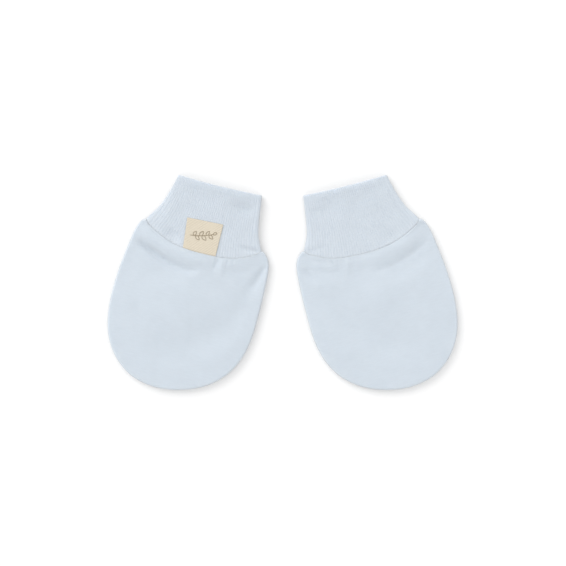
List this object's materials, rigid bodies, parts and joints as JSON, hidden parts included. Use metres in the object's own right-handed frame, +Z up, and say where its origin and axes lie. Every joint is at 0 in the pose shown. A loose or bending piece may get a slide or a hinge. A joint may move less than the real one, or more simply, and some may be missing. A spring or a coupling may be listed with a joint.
{
  "type": "pair of baby scratch mittens",
  "caption": "Pair of soft knitted baby mittens with rounded bodies and flared rib cuffs, laid flat side by side, with a small woven label in one cuff seam.",
  "frame": {"origin": "midway between the two mittens, at the middle of the pair's box, on the surface that they lie on", "axes": "+X from the left mitten to the right one as they lie, +Y towards the wrists, +Z up from the surface"},
  "size_m": [0.1816, 0.1115, 0.0062],
  "materials": {
    "body_knit": "matte pale blue cotton interlock",
    "cuff_rib": "matte pale blue fine cotton rib",
    "label_tape": "matte cream woven tape"
  },
  "bodies": {
    "root": {"left_front_panel": "body_knit", "left_back_panel": "body_knit", "left_cuff": "cuff_rib", "left_label": "label_tape", "right_front_panel": "body_knit", "right_back_panel": "body_knit", "right_cuff": "cuff_rib"}
  },
  "joints": []
}
